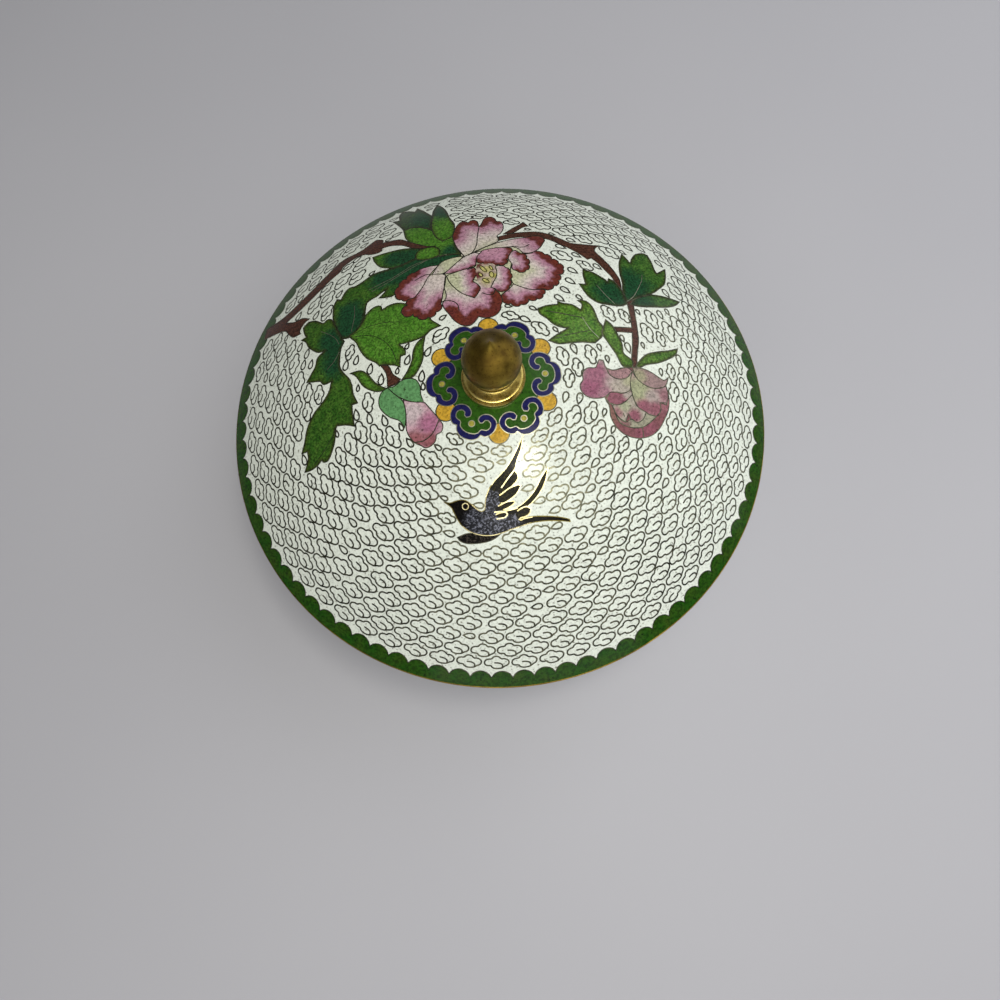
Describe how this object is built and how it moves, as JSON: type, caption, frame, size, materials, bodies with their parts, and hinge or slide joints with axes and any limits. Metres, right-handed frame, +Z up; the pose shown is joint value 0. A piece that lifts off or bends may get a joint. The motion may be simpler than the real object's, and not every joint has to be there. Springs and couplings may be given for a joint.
{
  "type": "cloisonne lidded bowl",
  "caption": "Round footed bowl with a low domed lid and a pointed brass knob, enamelled white with a peony branch, a swallow and a green scalloped edge.",
  "frame": {"origin": "centre of the foot ring on the surface the bowl stands on", "axes": "+Z up along the axis of turning; the bird on the lid faces -Y, the peony is towards +Y"},
  "size_m": [0.22, 0.22, 0.15],
  "materials": {
    "white_enamel": "glossy white enamel on copper, with fine pits and brass wire cells",
    "aged_brass": "polished brass gone brown, brighter on the edges",
    "green_enamel": "glossy deep green enamel of the borders",
    "picture_enamel": "glossy enamels of the flowers, leaves, branches and bird, shaded within each cell",
    "lining_enamel": "glossy turquoise counter enamel inside and under the foot",
    "cell_wire": "fine brass wire ground flush with the enamel, dulled"
  },
  "bodies": {
    "root": {"lid_shell": "white_enamel", "lid_rim": "aged_brass", "finial_seat": "aged_brass", "finial": "aged_brass", "bowl_shell": "white_enamel", "bowl_rim": "aged_brass", "foot_ring": "aged_brass"}
  },
  "joints": []
}
